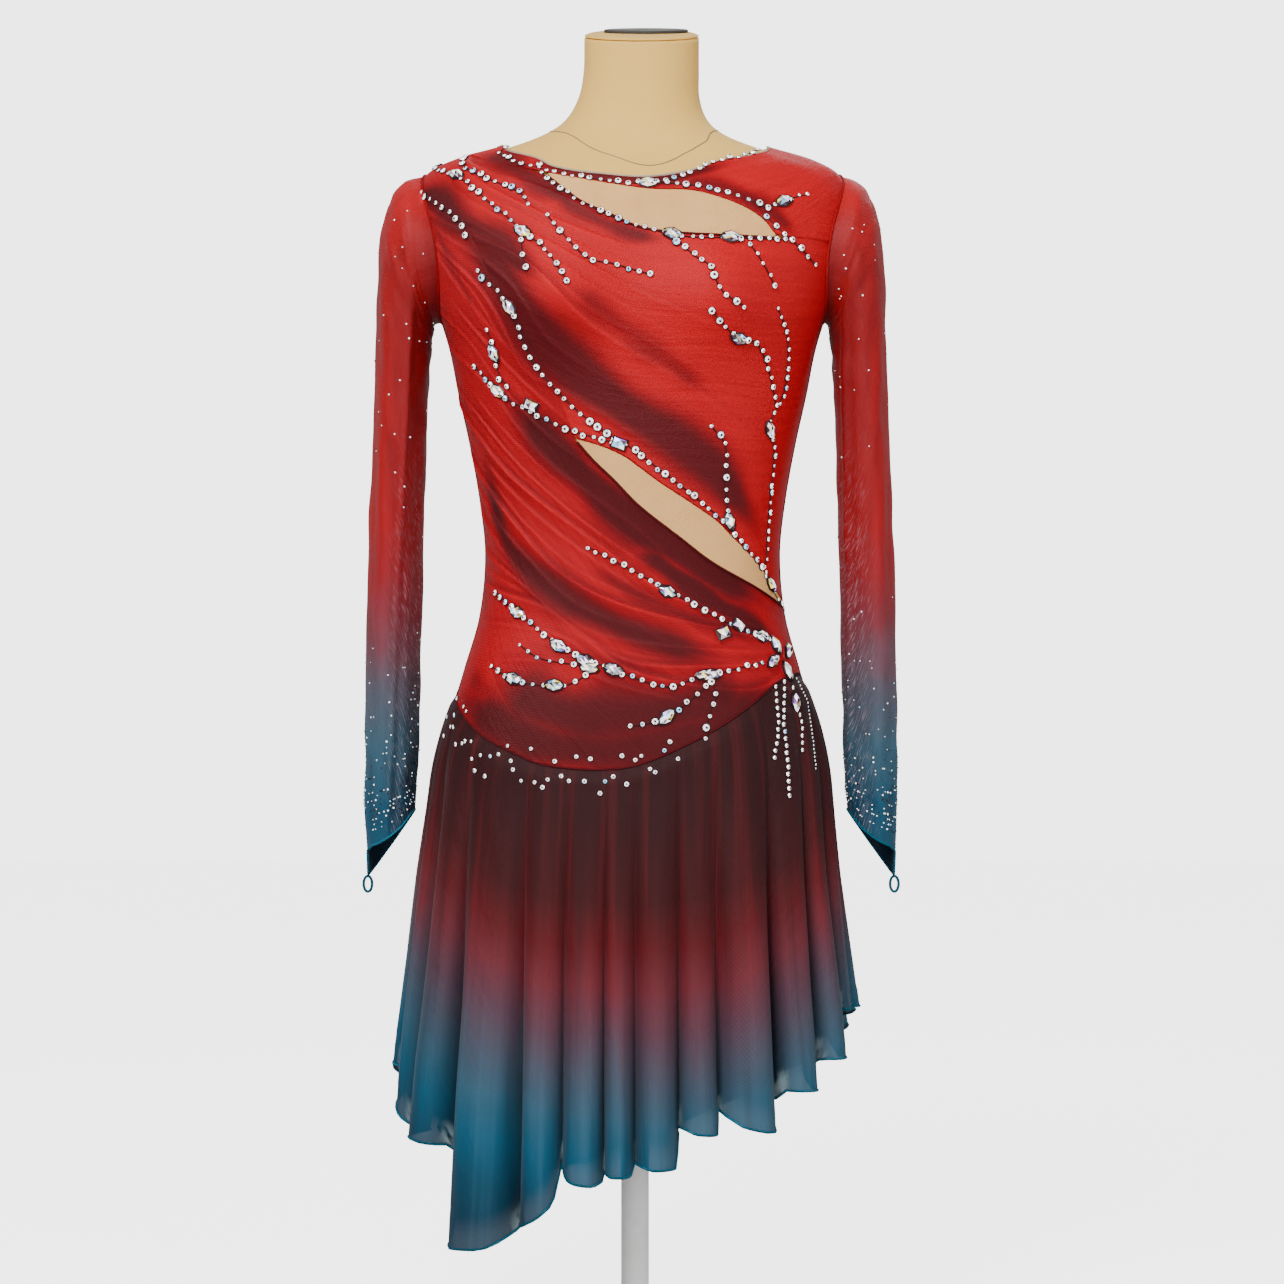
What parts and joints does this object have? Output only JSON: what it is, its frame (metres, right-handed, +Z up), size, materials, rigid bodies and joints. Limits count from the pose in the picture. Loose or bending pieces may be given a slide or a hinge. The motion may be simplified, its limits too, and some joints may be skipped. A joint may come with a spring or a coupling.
{
  "type": "figure skating dress on dress form",
  "caption": "Figure skating dress, red fading to teal, with a draped bodice, nude mesh insets, sheer sleeves and a slanting chiffon skirt, on a cream dress form with a stand.",
  "frame": {"origin": "centre of the underside of the stand's base, on the floor", "axes": "+Z up along the pole, -Y the front of the dress, +X the viewer's right seen from the front"},
  "size_m": [0.4842, 0.3408, 1.1881],
  "materials": {
    "red_mesh": "matte",
    "drape_mesh": "matte",
    "nude_mesh": "matte",
    "sleeve_mesh": "satin",
    "chiffon": "matte",
    "briefs_knit": "matte",
    "teal_elastic": "matte",
    "form_cover": "matte",
    "cap_board": "matte",
    "stand_paint": "satin"
  },
  "bodies": {
    "root": {"yoke": "red_mesh", "front_upper": "red_mesh", "front_drape": "drape_mesh", "chest_inset": "nude_mesh", "waist_inset": "nude_mesh", "back_bodice": "red_mesh", "sleeve_left": "sleeve_mesh", "sleeve_right": "sleeve_mesh", "finger_loop_left": "teal_elastic", "finger_loop_right": "teal_elastic", "skirt_front": "chiffon", "skirt_back": "chiffon", "briefs": "briefs_knit", "form_torso": "form_cover", "neck_board": "cap_board", "neck_cap": "form_cover", "stand_base": "stand_paint", "stand_pole": "stand_paint"}
  },
  "joints": []
}
